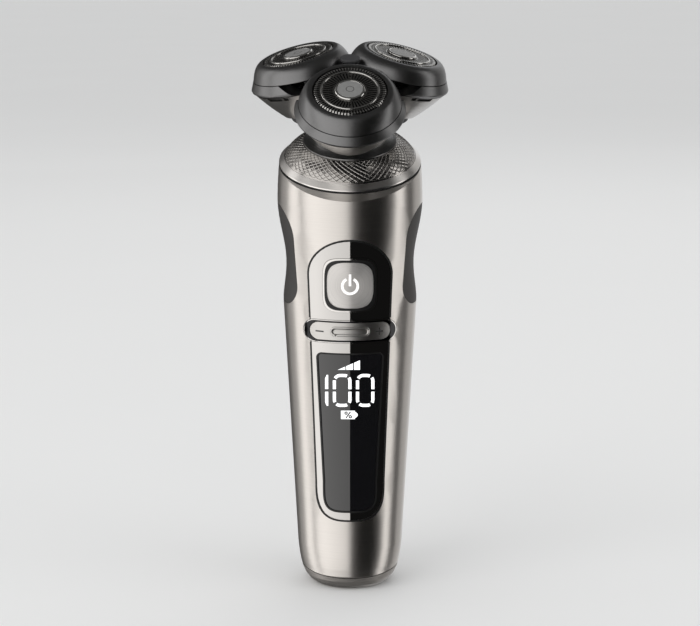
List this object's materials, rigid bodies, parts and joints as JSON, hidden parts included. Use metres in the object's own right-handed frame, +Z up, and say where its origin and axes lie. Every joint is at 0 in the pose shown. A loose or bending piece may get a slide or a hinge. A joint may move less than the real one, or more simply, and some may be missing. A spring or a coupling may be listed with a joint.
{
  "type": "rotary electric shaver",
  "caption": "Cordless rotary shaver with a tapered brushed handle, display panel, power button, speed rocker and a forward-tilted unit of hinged slotted heads.",
  "frame": {"origin": "centre of the flat foot face the shaver stands on", "axes": "+Z up along the handle axis, -Y out of the control panel, X across the panel"},
  "size_m": [0.06, 0.0609, 0.1687],
  "materials": {
    "satin_metal": "satin brushed",
    "foot_metal": "satin",
    "soft_grip": "matte",
    "gloss_panel": "mirror",
    "dark_glass": "polished",
    "chrome": "polished",
    "dark_chrome": "knurled",
    "button_metal": "spun",
    "grey_plastic": "satin",
    "black_plastic": "matte",
    "steel": "turned",
    "brass": "turned",
    "copper": "wound",
    "white_plastic": "moulded",
    "black_rubber": "matte",
    "board_green": "solder mask",
    "cell_wrap": "printed film",
    "cap_steel": "ground"
  },
  "bodies": {
    "handle": {"sleeve": "satin_metal", "rear_grip": "soft_grip", "base_cap": "foot_metal", "base_seal": "black_rubber", "charging_coil": "copper", "fascia": "gloss_panel", "button_bezel": "chrome", "rocker_bezel": "gloss_panel", "display_lens": "dark_glass", "display_module": "black_plastic", "circuit_board": "board_green", "tact_switches": "black_plastic", "chassis": "black_plastic", "battery_cell": "cell_wrap", "battery_contacts": "brass", "motor_can": "steel", "gear_plate": "steel", "gear_plate_screws": "steel", "top_plate": "black_plastic", "neck_bearing": "brass", "shoulder_ring": "chrome", "knurled_collar": "dark_chrome", "neck_ring": "grey_plastic", "shaft_seal": "black_rubber"},
    "power_button": {"power_button": "button_metal"},
    "speed_rocker": {"speed_rocker": "button_metal"},
    "motor_rotor": {"motor_pinion": "brass"},
    "drive_train": {"drive_shaft": "steel", "drive_gear": "white_plastic"},
    "shaving_unit": {"unit_base": "grey_plastic", "gear_cover": "black_plastic", "unit_frame": "grey_plastic", "hinge_pins": "steel"},
    "sun": {"sun_gear": "white_plastic"},
    "planet_front": {"planet_front": "white_plastic"},
    "head_front": {"cup_front": "grey_plastic", "lower_shell_front": "chrome", "holder_front": "grey_plastic", "cap_front": "cap_steel", "retainer_front": "white_plastic"},
    "cutter_front": {"cutter_front": "cap_steel", "spindle_front": "steel"},
    "planet_right": {"planet_right": "white_plastic"},
    "head_right": {"cup_right": "grey_plastic", "lower_shell_right": "chrome", "holder_right": "grey_plastic", "cap_right": "cap_steel", "retainer_right": "white_plastic"},
    "cutter_right": {"cutter_right": "cap_steel", "spindle_right": "steel"},
    "planet_left": {"planet_left": "white_plastic"},
    "head_left": {"cup_left": "grey_plastic", "lower_shell_left": "chrome", "holder_left": "grey_plastic", "cap_left": "cap_steel", "retainer_left": "white_plastic"},
    "cutter_left": {"cutter_left": "cap_steel", "spindle_left": "steel"}
  },
  "joints": [
    {"name": "power_press", "type": "slide", "parent": "handle", "child": "power_button", "axis": [0, 1, 0], "range_m": [0, 0.0006], "stiffness_N_per_m": 3000},
    {"name": "speed_rock", "type": "hinge", "parent": "handle", "child": "speed_rocker", "pos_m": [0, -0.01759, 0.083], "axis": [0, 0, 1], "range_deg": [-2.2, 2.2], "stiffness_Nm_per_rad": 0.4},
    {"name": "motor_spin", "type": "hinge", "parent": "handle", "child": "motor_rotor", "pos_m": [0, -0.0029, 0.12263], "axis": [0, -0.342, 0.9397], "continuous": true},
    {"name": "drive_spin", "type": "hinge", "parent": "handle", "child": "drive_train", "pos_m": [0, 0, 0.1322], "axis": [0, -0.342, 0.9397], "continuous": true},
    {"name": "unit_release", "type": "slide", "parent": "handle", "child": "shaving_unit", "axis": [0, -0.342, 0.9397], "range_m": [0, 0.015]},
    {"name": "sun_spin", "type": "hinge", "parent": "shaving_unit", "child": "sun", "pos_m": [0, -0.00479, 0.14536], "axis": [0, -0.342, 0.9397], "continuous": true},
    {"name": "planet_spin_front", "type": "hinge", "parent": "shaving_unit", "child": "planet_front", "pos_m": [0, -0.01747, 0.14074], "axis": [0, -0.342, 0.9397], "continuous": true},
    {"name": "head_tilt_front", "type": "hinge", "parent": "shaving_unit", "child": "head_front", "pos_m": [0, -0.01268, 0.14951], "axis": [1, 0, 0], "range_deg": [0, 4], "stiffness_Nm_per_rad": 0.3, "springref_deg": -5.73},
    {"name": "cutter_spin_front", "type": "hinge", "parent": "head_front", "child": "cutter_front", "pos_m": [0, -0.02499, 0.15173], "axis": [0, -0.5878, 0.809], "continuous": true},
    {"name": "planet_spin_right", "type": "hinge", "parent": "shaving_unit", "child": "planet_right", "pos_m": [0.01169, 0.00155, 0.14766], "axis": [0, -0.342, 0.9397], "continuous": true},
    {"name": "head_tilt_right", "type": "hinge", "parent": "shaving_unit", "child": "head_right", "pos_m": [0.0052, -0.00423, 0.15258], "axis": [-0.5, 0.8138, 0.2962], "range_deg": [0, 4], "stiffness_Nm_per_rad": 0.3, "springref_deg": -5.73},
    {"name": "cutter_spin_right", "type": "hinge", "parent": "head_right", "child": "cutter_right", "pos_m": [0.01455, -0.00131, 0.16035], "axis": [0.2387, -0.1993, 0.9504], "continuous": true},
    {"name": "planet_spin_left", "type": "hinge", "parent": "shaving_unit", "child": "planet_left", "pos_m": [-0.01169, 0.00155, 0.14766], "axis": [0, -0.342, 0.9397], "continuous": true},
    {"name": "head_tilt_left", "type": "hinge", "parent": "shaving_unit", "child": "head_left", "pos_m": [-0.0052, -0.00423, 0.15258], "axis": [-0.5, -0.8138, -0.2962], "range_deg": [0, 4], "stiffness_Nm_per_rad": 0.3, "springref_deg": -5.73},
    {"name": "cutter_spin_left", "type": "hinge", "parent": "head_left", "child": "cutter_left", "pos_m": [-0.01455, -0.00131, 0.16035], "axis": [-0.2387, -0.1993, 0.9504], "continuous": true}
  ],
  "couplings": [
    {"joint": "drive_spin", "follows": "sun_spin", "ratio": 1},
    {"joint": "motor_spin", "follows": "sun_spin", "ratio": -1.5},
    {"joint": "planet_spin_front", "follows": "sun_spin", "ratio": -2},
    {"joint": "cutter_spin_front", "follows": "sun_spin", "ratio": -2},
    {"joint": "planet_spin_right", "follows": "sun_spin", "ratio": -2},
    {"joint": "cutter_spin_right", "follows": "sun_spin", "ratio": -2},
    {"joint": "planet_spin_left", "follows": "sun_spin", "ratio": -2},
    {"joint": "cutter_spin_left", "follows": "sun_spin", "ratio": -2}
  ]
}
